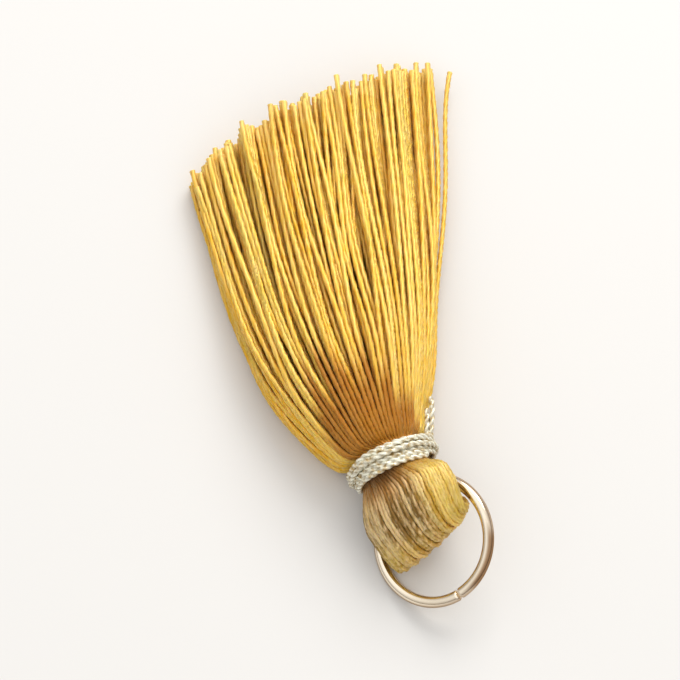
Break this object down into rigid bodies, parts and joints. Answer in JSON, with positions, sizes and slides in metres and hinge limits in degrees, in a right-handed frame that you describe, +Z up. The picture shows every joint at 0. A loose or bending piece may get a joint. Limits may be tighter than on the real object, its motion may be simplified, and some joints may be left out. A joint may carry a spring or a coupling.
{
  "type": "silk tassel",
  "caption": "Small silk thread tassel folded over an open jump ring and bound at the neck with metallic thread, its cut ends fanned out flat.",
  "frame": {"origin": "on the table below the middle of the tassel's footprint as it lies", "axes": "+Z up from the table, +Y from the ring towards the cut ends, +X to the right of the skirt seen from the ring with +Z up"},
  "size_m": [0.0162, 0.0362, 0.0056],
  "materials": {
    "golden_silk": "lustrous twisted silk thread, mustard gold",
    "metallic_thread": "pale gold metallic thread, wound, sparkling",
    "plated_wire": "polished pale gold plating"
  },
  "bodies": {
    "root": {"thread_bundle": "golden_silk", "neck_binding": "metallic_thread", "jump_ring": "plated_wire"}
  },
  "joints": []
}
